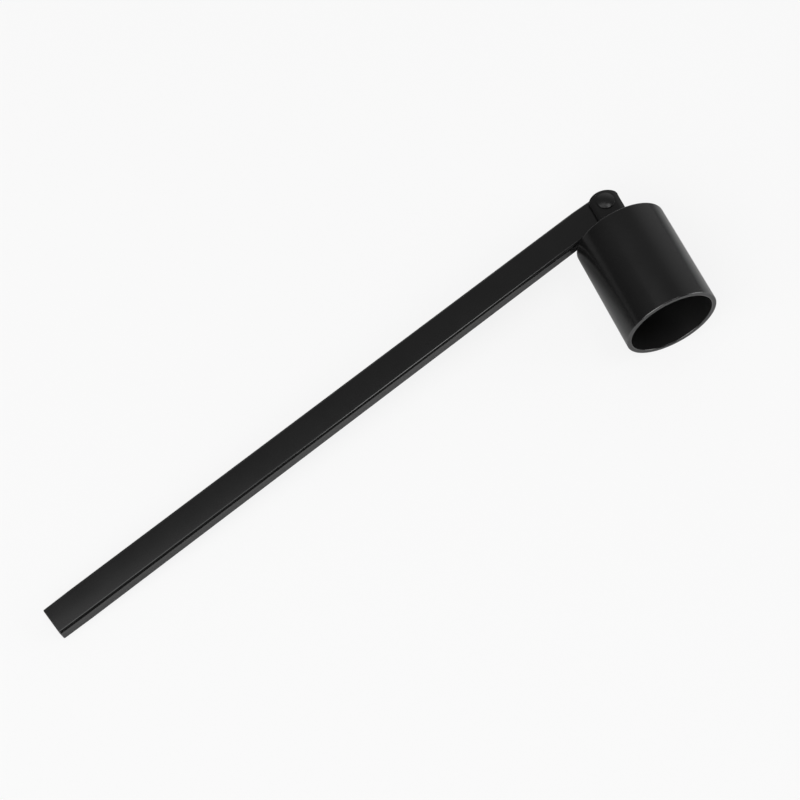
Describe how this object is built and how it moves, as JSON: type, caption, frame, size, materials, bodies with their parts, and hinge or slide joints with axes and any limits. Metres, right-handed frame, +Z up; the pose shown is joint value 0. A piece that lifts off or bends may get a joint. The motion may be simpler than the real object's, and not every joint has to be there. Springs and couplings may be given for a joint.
{
  "type": "candle snuffer",
  "caption": "Satin black candle snuffer: a flat metal handle bar with a straight-sided round cup that swings on a riveted yoke, lying on its side.",
  "frame": {"origin": "the middle of the bounding box, on the ground that the cup's side and the handle's free end rest on", "axes": "+X from the handle's free end towards the cup, +Y from the cup's mouth towards its crown, +Z up"},
  "size_m": [0.182, 0.0574, 0.025],
  "materials": {
    "handle_finish": "satin black paint",
    "cup_finish": "satin black paint",
    "yoke_finish": "satin black paint",
    "rivet_finish": "satin black paint"
  },
  "bodies": {
    "handle": {"handle_bar": "handle_finish"},
    "cup": {"snuffer_cup": "cup_finish", "hinge_yoke": "yoke_finish", "pivot_rivet": "rivet_finish", "crown_rivet": "rivet_finish"}
  },
  "joints": [
    {"name": "cup_swing", "type": "hinge", "parent": "handle", "child": "cup", "pos_m": [0.07851, 0.0249, 0.0125], "axis": [-0.0626, 0, 0.998], "range_deg": [-3, 215.9]}
  ]
}
